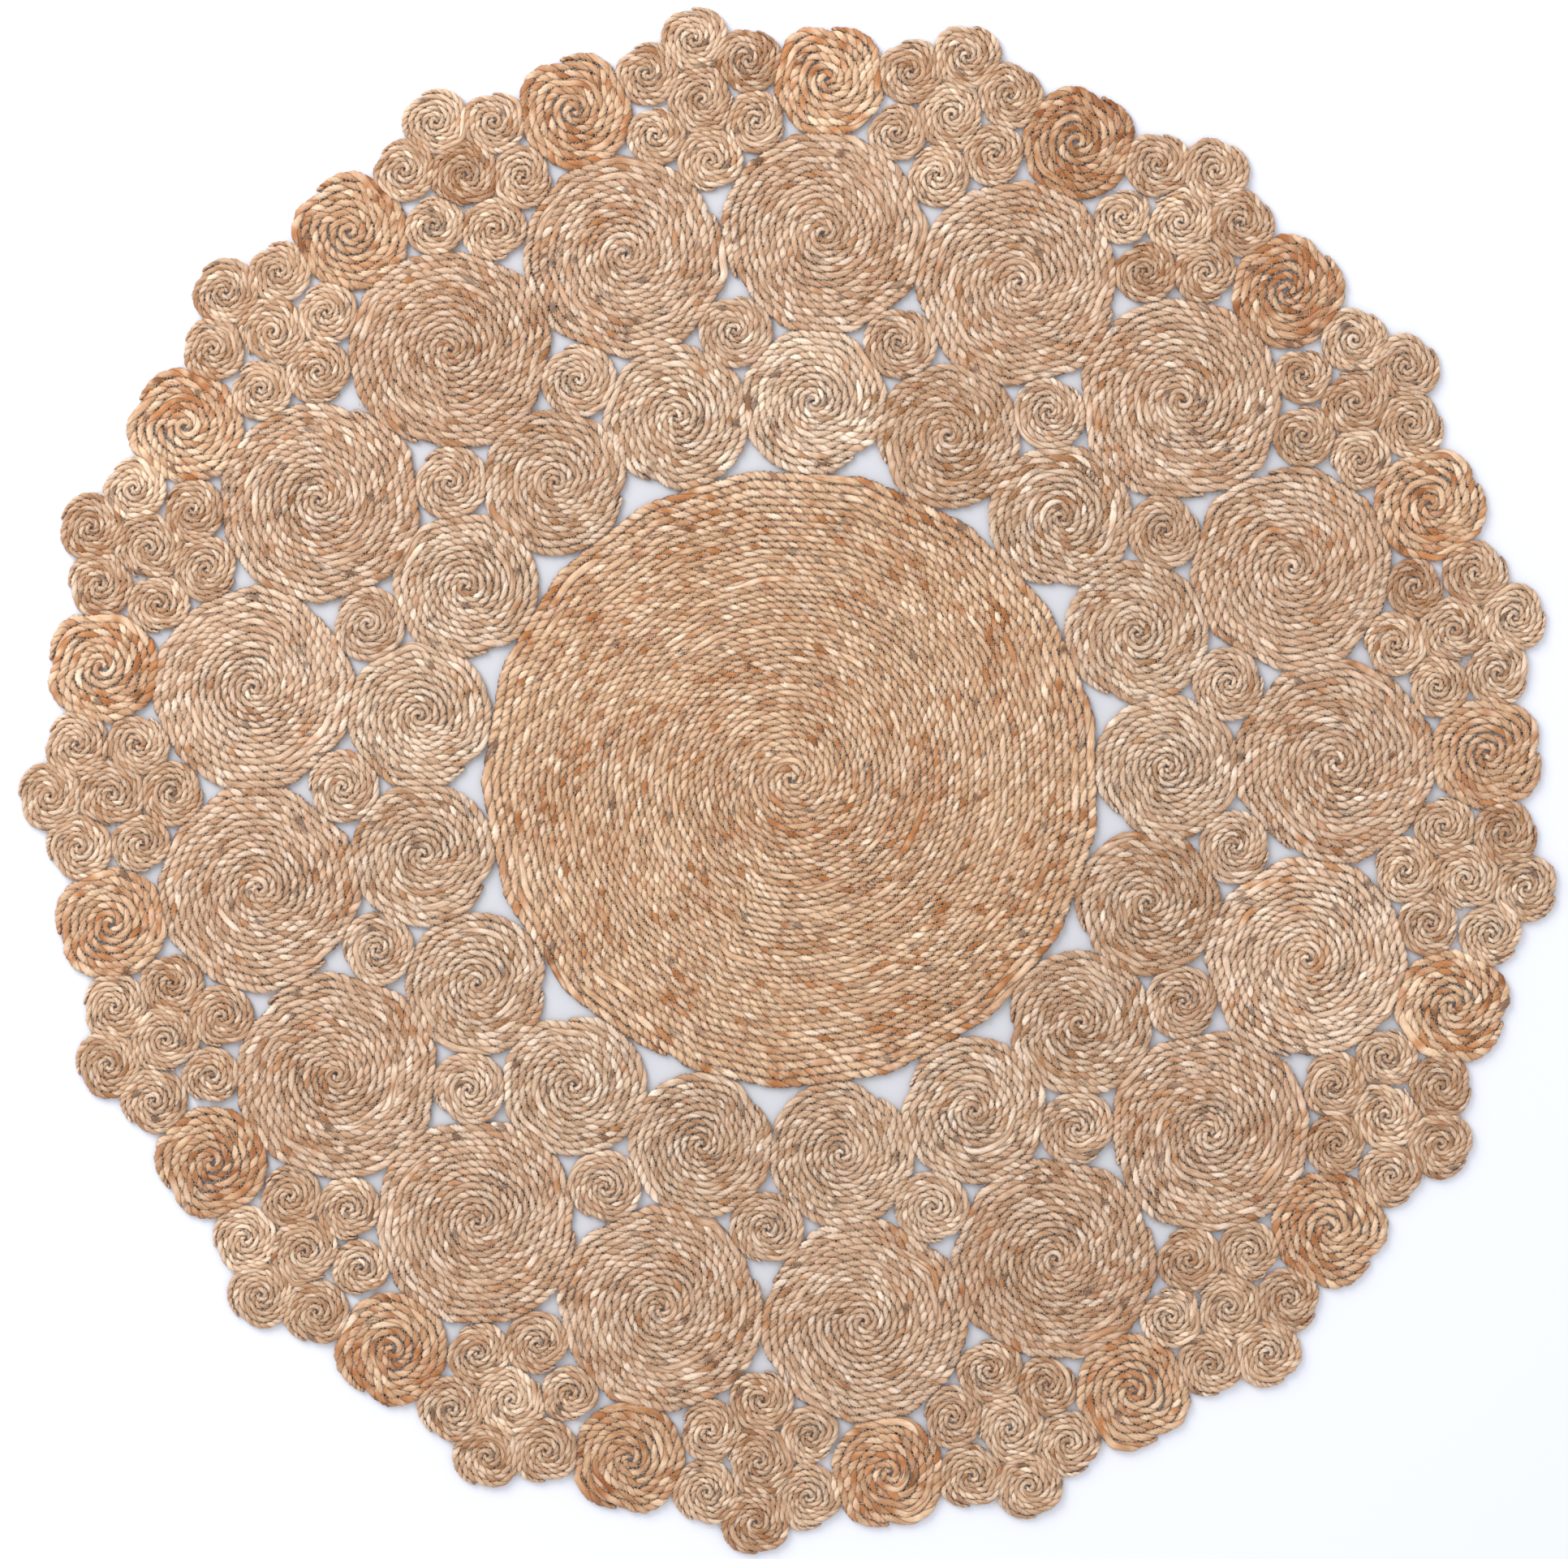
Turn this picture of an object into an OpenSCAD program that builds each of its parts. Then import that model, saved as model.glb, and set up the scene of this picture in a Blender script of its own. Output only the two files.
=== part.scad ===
// Round area rug made of coiled twisted-jute rope.
//
// Every part of the rug is a flat spiral coil of one rope. A large medallion
// sits in the middle. Round it lie rings of 17 coils: mid coils, small filler
// coils in the notches behind them, large coils, rim coils, and between the
// rim coils rosettes of seven tiny coils. Neighbouring coils are sewn together
// where they touch. A coil is one closed disc with a rope-round rim.
//
// The origin is on the floor in the middle of the rug's box. +Z is up.

/* [Rope] */
// Thickness of the twisted rope, which is the thickness of the rug
rope_d = 8; // [6:0.5:10]
// Free gap left between two neighbouring coils
coil_gap = 0.3; // [0.2:0.1:0.8]
// Diameter of a bundle of seam thread
thread_d = 2; // [2:0.05:2.2]
// Length of a seam where two coils touch, as a share of the smaller coil's radius
seam_share = 0.4; // [0.2:0.05:0.5]
// Widest gap between two coils that is still sewn together
sewn_gap = 1.9; // [1:0.1:2]

/* [Coils] */
// Radius of the medallion
medallion_r = 301; // [280:1:301]
// Largest radius of a mid coil, in the ring round the medallion
mid_coil_r = 68; // [60:0.5:70]
// Largest radius of a filler coil, in the notches behind the mid coils
filler_coil_r = 35; // [28:0.5:36]
// Largest radius of a large coil
large_coil_r = 98.5; // [90:0.5:100]
// Largest radius of a rim coil
rim_coil_r = 55; // [45:0.5:56]
// Radius of the tiny coil in the middle of a rosette
heart_coil_r = 30; // [24:0.5:30]
// Largest radius of the six tiny coils round it
tiny_coil_r = 29; // [22:0.5:30]

/* [Rings] */
// Distance from the middle to the mid coils' centres
mid_ring_r = 369; // [368:0.5:372]
// Distance from the middle to the filler coils' centres
filler_ring_r = 440; // [438:0.5:442]
// Distance from the middle to the large coils' centres
large_ring_r = 534; // [532:0.5:536]
// Distance from the middle to the rosettes' centres
rosette_ring_r = 667; // [664:0.5:670]
// Distance from the middle to the rim coils' centres
rim_ring_r = 683.5; // [680:0.5:688]
// Direction of the first mid and large coil, anticlockwise from +X
first_angle = 1.7; // [0:0.1:21]
// Extra turn of the rim coils and rosettes against the rings inside them
outer_turn = 0.35; // [0:0.05:0.5]

/* [Rosettes] */
// From a rosette's centre to its coil that points outwards
tip_reach = 60.5; // [60.5:0.5:64]
// From a rosette's centre to its two outer side coils
shoulder_reach = 60; // [60:0.5:63]
// Direction of the outer side coils, from straight outwards
shoulder_angle = 56.5; // [54:0.5:60]
// From a rosette's centre to its two inner side coils
hip_reach = 56.5; // [55:0.5:58]
// Direction of the inner side coils, from straight outwards
hip_angle = 119.5; // [117:0.5:122]
// From a rosette's centre to its coil that points inwards
tail_reach = 60; // [56:0.5:61]

/* [Hand laying] */
// How far the rings are pulled oval, as a share of their radius
oval = 0.005; // [0:0.001:0.006]
// Direction of the oval's long axis
oval_dir = 120; // [0:5:180]
// The coils are crowded towards one side by this many degrees
one_side_slip = 0.4; // [0:0.1:0.5]
// Direction along which that slip is largest
one_side_dir = -30; // [-180:5:180]
// The coils are crowded towards two opposite sides by this many degrees
two_side_slip = 0.35; // [0:0.05:0.4]
// Direction along which that slip is largest
two_side_dir = 95; // [0:5:180]

/* [Hidden] */
$fn = 96;
COUNT = 17;                      // coils in every ring, and rosettes
EACH = [0 : COUNT - 1];
STEP = 360 / COUNT;
NAMES = ["01", "02", "03", "04", "05", "06", "07", "08", "09",
         "10", "11", "12", "13", "14", "15", "16", "17"];

// Where a point of a ring ends up when the rug is laid by hand: the ring is a
// little oval, and its coils slip along it.
function laid(r, a) = let(
        slid = a + one_side_slip * cos(a - one_side_dir)
                 + two_side_slip * cos(2 * (a - two_side_dir)),
        out = r * (1 + oval * cos(2 * (a - oval_dir))))
    [out * cos(slid), out * sin(slid)];

// Centre number k of a ring. Half steps fall in the notches between two coils.
function ring_spot(r, k, turn = 0) = laid(r, first_angle + turn + k * STEP);

function next(k) = (k + 1) % COUNT;
function before(k) = (k + COUNT - 1) % COUNT;

// The room that a coil centred at p has before it meets another coil c = [x, y, r]
function room(p, c) = norm(p - [c.x, c.y]) - c[2] - coil_gap;

// Half the way from p to another centre q, less half the gap
function half_way(p, q) = (norm(p - q) - coil_gap) / 2;

// Large coils touch each other all the way round.
LARGE = [for (k = EACH) let(p = ring_spot(large_ring_r, k))
    [p.x, p.y, min(large_coil_r,
                   half_way(p, ring_spot(large_ring_r, k + 1)),
                   half_way(p, ring_spot(large_ring_r, k - 1)))]];

// Mid coils fill the belt between the medallion and the large coils.
MEDALLION = [0, 0, medallion_r];
MID = [for (k = EACH) let(p = ring_spot(mid_ring_r, k))
    [p.x, p.y, min(mid_coil_r,
                   half_way(p, ring_spot(mid_ring_r, k + 1)),
                   half_way(p, ring_spot(mid_ring_r, k - 1)),
                   room(p, MEDALLION),
                   room(p, LARGE[k]))]];

// Each filler coil sits between two mid coils and two large coils.
FILLER = [for (k = EACH) let(p = ring_spot(filler_ring_r, k + 0.5))
    [p.x, p.y, min(filler_coil_r,
                   room(p, MID[k]), room(p, MID[next(k)]),
                   room(p, LARGE[k]), room(p, LARGE[next(k)]))]];

// Each rim coil sits on the outside of a large coil.
RIM = [for (k = EACH) let(p = ring_spot(rim_ring_r, k, outer_turn))
    [p.x, p.y, min(rim_coil_r, room(p, LARGE[k]))]];

// The seven centres of a rosette, as [reach, direction from straight outwards]:
// the heart coil, the tip, a shoulder and a hip, the tail, a hip and a shoulder
ROSETTE_PLAN = [
    [0, 0],
    [tip_reach, 0],
    [shoulder_reach, shoulder_angle],
    [hip_reach, hip_angle],
    [tail_reach, 180],
    [hip_reach, -hip_angle],
    [shoulder_reach, -shoulder_angle],
];
function rosette_spots(k) = let(
        heart = ring_spot(rosette_ring_r, k + 0.5, outer_turn),
        out = atan2(heart.y, heart.x))
    [for (plan = ROSETTE_PLAN) heart + plan[0] * [cos(out + plan[1]), sin(out + plan[1])]];

// The heart coil keeps its size. The six round it share the room that is left.
function rosette(k) = let(
        spots = rosette_spots(k),
        heart = [spots[0].x, spots[0].y, heart_coil_r],
        outside = [heart, LARGE[k], LARGE[next(k)], RIM[k], RIM[next(k)]])
    [heart, for (i = [1 : 6]) let(p = spots[i])
        [p.x, p.y, min(concat(
            [tiny_coil_r],
            [for (j = [1 : 6]) if (j != i) half_way(p, spots[j])],
            [for (c = outside) room(p, c)]))]];
ROSETTE = [for (k = EACH) rosette(k)];

// Every coil of the rug, and the middle of the box that holds them all
ALL = concat([MEDALLION], MID, LARGE, FILLER, RIM, [for (r = ROSETTE) each r]);
MIDDLE = [for (i = [0, 1])
    (max([for (c = ALL) c[i] + c[2]]) + min([for (c = ALL) c[i] - c[2]])) / 2];

// Seams run wherever two neighbouring coils are close enough to sew.
function apart(a, b) = norm([b.x - a.x, b.y - a.y]) - a[2] - b[2];
function sewn(pairs) = [for (s = pairs) if (apart(s[0], s[1]) < sewn_gap) s];
function each_with(c, others) = [for (o = others) [c, o]];
function within(coils) = [for (i = [0 : len(coils) - 2], j = [i + 1 : len(coils) - 1])
    [coils[i], coils[j]]];

function inner_seams(k) = sewn([[MEDALLION, MID[k]], [MID[k], MID[next(k)]],
                                [MID[k], LARGE[k]], [LARGE[k], LARGE[next(k)]]]);
function filler_seams(k) = sewn(each_with(
    FILLER[k], [MID[k], MID[next(k)], LARGE[k], LARGE[next(k)]]));
function rim_seams(k) = sewn(each_with(
    RIM[k], concat([LARGE[k]], ROSETTE[k], ROSETTE[before(k)])));
function rosette_seams(k) = sewn(concat(
    within(ROSETTE[k]),
    [for (c = ROSETTE[k]) each each_with(c, [LARGE[k], LARGE[next(k)]])]));

rim_round = rope_d / 2;          // the rim is as round as the rope

// A flat spiral coil of rope, c = [x, y, r]
module coil(c) {
    translate([c.x - MIDDLE.x, c.y - MIDDLE.y, 0])
        rotate_extrude() {
            translate([c[2] - rim_round, rim_round])
                intersection() {
                    circle(rim_round);
                    translate([0, -rim_round]) square(rope_d);
                }
            square([c[2] - rim_round, rope_d]);
        }
}

// The two bundles of seam thread between coils a and b. They lie in the grooves
// between the coils' round rims, one on each side of the rug.
module seam(a, b) {
    way = [b.x - a.x, b.y - a.y];
    gap = apart(a, b);
    touch = [a.x, a.y] + way / norm(way) * (a[2] + gap / 2);
    reach = rim_round + thread_d / 2 + coil_gap / 4;
    lift = sqrt(pow(reach, 2) - pow(rim_round + gap / 2, 2));
    length = seam_share * min(a[2], b[2]);
    for (side = [-1, 1])
        translate([touch.x - MIDDLE.x, touch.y - MIDDLE.y, rim_round + side * lift])
            rotate([0, 0, atan2(way.y, way.x)])
                rotate([90, 0, 0])
                    cylinder(h = length, d = thread_d, center = true, $fn = 24);
}

// The seams of one sector of the rug
module sector_seams(pairs) {
    union() for (s = pairs) seam(s[0], s[1]);
}

module medallion() { color("#C69668") coil(MEDALLION); }
module mid_coil(k) { color("#C8A47E") coil(MID[k]); }
module large_coil(k) { color("#CAA680") coil(LARGE[k]); }
module rosette(k) { color("#BE9C79") for (c = ROSETTE[k]) coil(c); }
module filler_coils() { color("#BB9A77") for (c = FILLER) coil(c); }
module rim_coils() { color("#BC8C60") for (c = RIM) coil(c); }
module inner_seams() { color("#D2B592") for (k = EACH) sector_seams(inner_seams(k)); }
module filler_seams() { color("#D2B592") for (k = EACH) sector_seams(filler_seams(k)); }
module rim_seams() { color("#D2B592") for (k = EACH) sector_seams(rim_seams(k)); }
module rosette_seams() { color("#D2B592") for (k = EACH) sector_seams(rosette_seams(k)); }

medallion();
for (k = EACH) {
    mid_coil(k);
    large_coil(k);
    rosette(k);
}
filler_coils();
rim_coils();
inner_seams();
filler_seams();
rim_seams();
rosette_seams();
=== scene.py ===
# %% [markdown]
# # A round rug of coiled jute rope
# The rug is made of flat coils of two-ply jute rope. One big medallion lies in the middle. A ring
# of middling coils, a ring of large coils and a rim of rosettes lie round it, and every coil is
# sewn to the coils that it touches. Each coil is one rope wound from its eye outwards, its turns
# sewn to each other with a zigzag of thin thread. The CAD model says where each coil lies and how
# wide it is. This script lays real rope in those places.

import bpy
import numpy as np
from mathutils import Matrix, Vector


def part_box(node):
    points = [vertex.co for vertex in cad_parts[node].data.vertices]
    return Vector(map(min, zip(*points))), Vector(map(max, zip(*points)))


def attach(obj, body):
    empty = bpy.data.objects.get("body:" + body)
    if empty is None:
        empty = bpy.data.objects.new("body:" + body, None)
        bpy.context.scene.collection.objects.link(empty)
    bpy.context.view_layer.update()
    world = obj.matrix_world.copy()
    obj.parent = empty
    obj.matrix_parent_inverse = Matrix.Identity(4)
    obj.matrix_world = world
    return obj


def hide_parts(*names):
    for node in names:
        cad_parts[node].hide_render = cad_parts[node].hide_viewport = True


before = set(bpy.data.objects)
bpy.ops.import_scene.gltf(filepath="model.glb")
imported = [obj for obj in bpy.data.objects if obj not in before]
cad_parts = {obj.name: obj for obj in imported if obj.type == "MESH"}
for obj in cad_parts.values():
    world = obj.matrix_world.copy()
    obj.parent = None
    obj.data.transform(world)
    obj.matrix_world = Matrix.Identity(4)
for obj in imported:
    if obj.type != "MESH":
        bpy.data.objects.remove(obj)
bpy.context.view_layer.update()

MM = 0.001
FULL_TURN = 2 * np.pi

# %% [markdown]
# ## The camera
# The rug is seen from straight above, from a little over four metres, so that the near and the far
# edge look the same size. A long lens keeps the coils round right out to the rim. The camera stands
# still above the middle of the rug, and its top side points along +Y.

# %% Camera above the rug
VIEW_WIDTH = 1.5333
LENS = 100
SENSOR = 36
MIDDLE_OF_VIEW = (-0.0038, 0.0014)
HALF_THICKNESS = 4 * MM
FURTHEST_SEEN = 100

camera_data = bpy.data.cameras.new("above_the_rug")
camera_data.lens = LENS
camera_data.sensor_width = SENSOR
camera_data.clip_end = FURTHEST_SEEN
camera = bpy.data.objects.new("above_the_rug", camera_data)
camera.location = (*MIDDLE_OF_VIEW, VIEW_WIDTH * LENS / SENSOR + HALF_THICKNESS)
bpy.context.scene.collection.objects.link(camera)
bpy.context.scene.camera = camera
print("camera height:", round(camera.location.z, 3))

# %% [markdown]
# ## Where the coils lie
# A big coil is one CAD node, so its box gives its middle and its radius. A rosette, the filler coils
# and the rim coils are nodes of several discs each. Such a node's mesh is loose triangles, so the
# discs are found by joining corners at the same place, and then letting every triangle pass on the
# lowest number that any of its corners holds until nothing changes. Every disc then has a number
# of its own.

# %% Find every coil's middle and radius
SAME_PLACE_DECIMALS = 3


def disc_numbers(mesh, corners):
    """One number for each corner, alike for all corners of a disc: every triangle's corners take the
    lowest number among them, over and over, until no number changes."""
    mesh.calc_loop_triangles()
    triangles = np.empty(len(mesh.loop_triangles) * 3, np.int32)
    mesh.loop_triangles.foreach_get("vertices", triangles)
    _, joined = np.unique(np.round(corners / MM, SAME_PLACE_DECIMALS), axis=0, return_inverse=True)
    joined = joined.reshape(-1)
    triangles = joined[triangles].reshape(-1, 3)
    number = np.arange(joined.max() + 1)
    while True:
        lowest = number[triangles].min(axis=1)
        passed_on = number.copy()
        for corner in range(3):
            np.minimum.at(passed_on, triangles[:, corner], lowest)
        passed_on = passed_on[passed_on]
        if np.array_equal(passed_on, number):
            return number[joined]
        number = passed_on


def discs_of(node):
    """The separate discs of a CAD node, as rows of (x, y, radius): the middle of each disc's box and
    a quarter of its width and depth together."""
    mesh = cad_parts[node].data
    corners = np.empty(len(mesh.vertices) * 3, np.float32)
    mesh.vertices.foreach_get("co", corners)
    corners = corners.reshape(-1, 3)
    disc = disc_numbers(mesh, corners)
    found = []
    for one in np.unique(disc):
        mine = corners[disc == one, :2]
        low, high = mine.min(axis=0), mine.max(axis=0)
        found.append((*((low + high) / 2), (high - low).sum() / 4))
    return np.array(found)


def disc_of(node):
    """A single-disc node as (x, y, radius), from its box."""
    low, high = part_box(node)
    return [((low.x + high.x) / 2, (low.y + high.y) / 2, (high.x - low.x + high.y - low.y) / 4)]


nodes = sorted(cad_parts)
coils = []


def add_coils(kind, node, discs):
    """Adds one entry for each disc of a node to the list of coils."""
    for x, y, radius in discs:
        coils.append({"kind": kind, "node": node, "middle": np.array([x, y]), "cad": radius})


for node in nodes:
    if node == "medallion":
        add_coils("medallion", node, disc_of(node))
    elif node.startswith("mid_coil"):
        add_coils("mid", node, disc_of(node))
    elif node.startswith("large_coil"):
        add_coils("large", node, disc_of(node))
    elif node.startswith("rosette_") and node[-2:].isdigit():
        add_coils("rosette", node, discs_of(node))
    elif node == "filler_coils":
        add_coils("filler", node, discs_of(node))
    elif node == "rim_coils":
        add_coils("rim", node, discs_of(node))

middles = np.array([coil["middle"] for coil in coils])
for kind in ("medallion", "mid", "large", "rosette", "filler", "rim"):
    radii = [coil["cad"] / MM for coil in coils if coil["kind"] == kind]
    print(f"{kind}: {len(radii)} coils, radius {min(radii):.1f} to {max(radii):.1f} mm")

# %% [markdown]
# ## Rope for each kind of coil
# All the rope is the same jute, but it is spun and wound a little differently from coil to coil.
# turn is the mean distance between turns in millimetres. finer says how much finer the middle turns
# are than the outer ones, and late how late the turns grow, where 2 is evenly. swell is how far, in
# millimetres, a coil may stand out past its CAD radius where nothing is in its way. lay is the rope
# length of one full twist, in rope widths. stitch is the distance between two bites of the thread,
# in millimetres, and thread the height it lies at, in half rope thicknesses. dome is how much
# higher a coil's eye stands than its rim, in millimetres.

# %% Rope sizes for each kind of coil
COLUMNS = ("turn", "finer", "late", "swell", "lay", "stitch", "thread", "dome")
ROPE_TABLE = {
    "medallion": (6.7, 0.03, 12, 5.0, 3.5, 2.6, 1.72, 0.0),
    "mid": (6.4, 0.16, 2, 5.5, 3.5, 3.0, 1.69, 0.3),
    "large": (6.7, 0.14, 2, 5.0, 3.5, 3.0, 1.70, 0.3),
    "rosette": (5.2, 0.10, 2, 5.6, 3.7, 5.0, 1.54, 0.8),
    "filler": (5.4, 0.12, 2, 5.8, 3.7, 4.4, 1.58, 0.6),
    "rim": (7.4, 0.12, 2, 6.0, 3.5, 3.8, 1.64, 0.4),
}
ROPES = {kind: dict(zip(COLUMNS, row)) for kind, row in ROPE_TABLE.items()}
print("kinds of coil:", ", ".join(ROPES))

# %% [markdown]
# ## Outlines of the coils
# A free coil is nearly round. Where two coils are sewn together they press each other flat for a few
# centimetres, so an outline is a circle cut by a straight line towards every neighbour, and the cuts
# are rounded off. A hand-wound coil is also never quite true, so each outline gets a slight wave.

# %% Who touches whom
WAVES_ROUND = (2, 3, 5)
WAVE_SIZES = (0.006, 0.005, 0.003)
MEDALLION_WAVES = 0.2
REACH_TO_NEIGHBOUR = 8 * MM
SINK = 0.6 * MM

rng = np.random.default_rng(17)
for index, coil in enumerate(coils):
    coil["rope"] = ROPES[coil["kind"]]
    coil["index"] = index
    coil["round"] = coil["cad"] + coil["rope"]["swell"] * MM
    coil["waves"] = rng.normal(0, 1, 2 * len(WAVE_SIZES)) * np.repeat(WAVE_SIZES, 2)
    if coil["kind"] == "medallion":
        coil["waves"] = coil["waves"] * MEDALLION_WAVES

contacts = []
for coil in coils:
    apart = middles - coil["middle"]
    distance = np.hypot(apart[:, 0], apart[:, 1])
    coil["presses"] = []
    for other in np.argsort(distance):
        gap = distance[other] - coil["cad"] - coils[other]["cad"]
        if other == coil["index"] or gap > REACH_TO_NEIGHBOUR:
            continue
        bearing = np.arctan2(apart[other, 1], apart[other, 0])
        share = coil["round"] / (coil["round"] + coils[other]["round"])
        coil["presses"].append((bearing, distance[other] * share + SINK))
        if other > coil["index"]:
            contacts.append((coil["index"], int(other), bearing, distance[other] * share))
print("coils:", len(coils), "contacts:", len(contacts))

# %% The outline as a function of the angle
CORNER_SOFTNESS = 0.9 * MM
LEAST_TOWARDS = 0.2


def outline(coil, angle):
    """Distance from a coil's middle to its edge at each angle. Radius times one plus three small
    waves, then the soft minimum with press / cos(angle from the neighbour) for each neighbour."""
    waves = coil["waves"]
    reach = np.full_like(angle, coil["round"])
    for step, count in enumerate(WAVES_ROUND):
        wave = waves[2 * step] * np.cos(count * angle) + waves[2 * step + 1] * np.sin(count * angle)
        reach += coil["round"] * wave
    for bearing, press in coil["presses"]:
        towards = np.cos(angle - bearing)
        cut_off = press / np.maximum(towards, LEAST_TOWARDS)
        reach = -np.logaddexp(-reach / CORNER_SOFTNESS, -cut_off / CORNER_SOFTNESS) * CORNER_SOFTNESS
    return reach


OUTLINE_STEPS = 720
all_round = np.linspace(0, FULL_TURN, OUTLINE_STEPS + 1)[:-1]
first_outline = outline(coils[0], all_round) / MM
print(f"first outline: {first_outline.min():.1f} to {first_outline.max():.1f} mm from its middle")

# %% Two helpers for slow changes
SPARE_KNOTS = 3


def smooth_step(x):
    """0 below 0, 1 above 1, and an S curve between them."""
    x = np.clip(x, 0, 1)
    return x * x * (3 - 2 * x)


def drift(position, spacing, rng):
    """Slow random ups and downs along a rope: random heights at even spacing, eased into each
    other with the S curve."""
    heights = rng.normal(0, 1, int(position.max() / spacing) + SPARE_KNOTS)
    knot = (position / spacing).astype(int)
    ease = smooth_step(position / spacing - knot)
    return heights[knot] * (1 - ease) + heights[knot + 1] * ease


print("half way up the S curve:", float(smooth_step(0.5)))

# %% [markdown]
# ## Winding the rope
# The rope starts at the eye and winds outwards. A plain spiral would leave a coil that is one rope
# wider on one side, so the outer turns are laid nearly as closed rings, and each moves out by one
# rope in a short jog, as a maker's hands do it. The rope's end is thinned and tucked against the
# turn inside it. It lies where no neighbour is near, so that it never ends up in a seam.

# %% The line down the middle of a rope
WIDER = 1.31
EDGE_SHARE = 0.43
EYE = 0.08
STEPS_PER_TURN = 360
TRIES_FOR_END = 60
JOG = 30 * MM
LONGEST_JOG = 0.25
RINGS_FROM = 1 / 1.6
PLUMP_LONG, PLUMP_SHORT = (0.045, 90 * MM), (0.035, 23 * MM)
TUCK, END_WIDTH = 35 * MM, 0.45
START, START_WIDTH = 10 * MM, 0.8


def end_angle(coil, rng):
    """Where round the coil the rope ends: of many random angles, the one that lies furthest from
    every neighbour, by the cosine of the angle between them."""
    end = rng.uniform(0, FULL_TURN)
    bearings = np.array([bearing for bearing, _ in coil["presses"]])
    if len(bearings):
        tries = rng.uniform(0, FULL_TURN, TRIES_FOR_END)
        nearest = np.cos(tries[:, None] - bearings[None, :]).max(axis=1)
        end = tries[nearest.argmin()]
    return end


def wind(coil, rng):
    """The rope's centre line from the eye outwards, as points with width, distance along the rope
    and the point one turn further in. Radius = outline * ((1 - finer) t + finer t^late) plus the
    part of a turn that the outer rings are moved out by, with t = turns so far / turns."""
    pitch, finer, late = coil["rope"]["turn"] * MM, coil["rope"]["finer"], coil["rope"]["late"]
    edge = EDGE_SHARE * WIDER * pitch * (1 - finer + finer * late)
    mean_reach = outline(coil, all_round).mean() - edge
    turns = mean_reach / pitch
    turn = np.linspace(EYE, turns, int((turns - EYE) * STEPS_PER_TURN))
    angle = end_angle(coil, rng) + FULL_TURN * (turn - turns)
    t = turn / turns
    share = (1 - finer) * t + finer * t ** late
    width = pitch * (1 - finer + finer * late * t ** (late - 1))
    shape = 1 + ((outline(coil, angle) - edge) / mean_reach - 1) * t ** 2
    before_end = (turns - turn) % 1
    jog = min(JOG / (FULL_TURN * mean_reach), LONGEST_JOG)
    ring = before_end - smooth_step((before_end - (1 - jog)) / jog)
    radius = (mean_reach * share + width * ring * smooth_step(t / RINGS_FROM)) * shape
    outwards = np.stack([np.cos(angle), np.sin(angle)], axis=1)
    flat = coil["middle"] + radius[:, None] * outwards
    along = np.concatenate([[0], np.cumsum(np.hypot(*np.diff(flat, axis=0).T))])
    plump = 1
    for size, spacing in (PLUMP_LONG, PLUMP_SHORT):
        plump = plump + size * drift(along, spacing, rng)
    thin = END_WIDTH + (1 - END_WIDTH) * smooth_step((along[-1] - along) / TUCK)
    thin *= START_WIDTH + (1 - START_WIDTH) * smooth_step(along / START)
    flat = flat - outwards * (width * (1 - thin) / 2)[:, None]
    inner = np.stack([np.interp(turn - 1, turn, flat[:, axis]) for axis in (0, 1)], axis=1)
    return {
        "flat": flat, "inner": inner, "turn": turn, "along": along,
        "width": width * plump * thin, "t": t, "turns": turns,
    }


trial = wind(coils[0], np.random.default_rng(1))
print("first coil:", round(trial["turns"], 1), "turns,", round(trial["along"][-1], 1), "m of rope")

# %% [markdown]
# ## From line to rope
# Jute rope of this kind is two plies twisted round each other like a right-handed screw. Cut across,
# it is two touching circles, so the outline of the cut is a peanut. The peanut is carried along the
# line and turned as it goes, and the mesh lines follow the plies. That gives the plump slanting
# grains of a real rope with only eight corners in each ring, where straight mesh lines would need
# many more. The valley between the plies is kept sharp, as it is on real rope.

# %% The peanut that is carried along the rope
PLY_ANGLES = np.radians([-90, -47, 0, 47])
PLY_OFFSET = 0.25
PLY_RADIUS = 0.75
SIDES = 2 * len(PLY_ANGLES)

ring_angle = np.concatenate([PLY_ANGLES, PLY_ANGLES + np.pi])
ring_crown = np.abs(np.cos(ring_angle))
ring_reach = PLY_OFFSET * ring_crown + np.sqrt(
    PLY_RADIUS**2 - (PLY_OFFSET * np.sin(ring_angle)) ** 2
)
print("reach of the ring's corners:", ring_reach.round(2))

# %% Rings of points made into a closed tube
UPWARDS = np.array([0.0, 0.0, 1.0])


def close_tube(points, ends, along):
    """A closed tube from rings of points: four-cornered faces join each ring to the next, and a fan
    round each of the two end points closes the tube."""
    rings, sides = points.shape[:2]
    ring, corner = np.meshgrid(np.arange(rings - 1), np.arange(sides), indexing="ij")
    ring, corner = ring.ravel(), corner.ravel()
    after = (corner + 1) % sides
    here, there = ring * sides, (ring + 1) * sides
    around = np.arange(sides)
    following = (around + 1) % sides
    first_end = np.full(sides, rings * sides)
    last_ring = (rings - 1) * sides
    return {
        "points": np.concatenate([points.reshape(-1, 3), ends]),
        "quads": np.stack([here + corner, here + after, there + after, there + corner], axis=1),
        "start": np.stack([first_end, following, around], axis=1),
        "finish": np.stack([first_end + 1, last_ring + around, last_ring + following], axis=1),
        "ring": ring, "corner": corner, "sides": sides, "rings": rings, "along": along,
    }


def tube(centre, side, offsets, along):
    """A closed tube along a line: a ring's corner is its centre, plus its first offset upwards and
    its second offset sideways."""
    points = centre[:, None, :] + offsets[..., 0:1] * UPWARDS + offsets[..., 1:2] * side[:, None, :]
    return close_tube(points, centre[[0, -1]], along)


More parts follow.
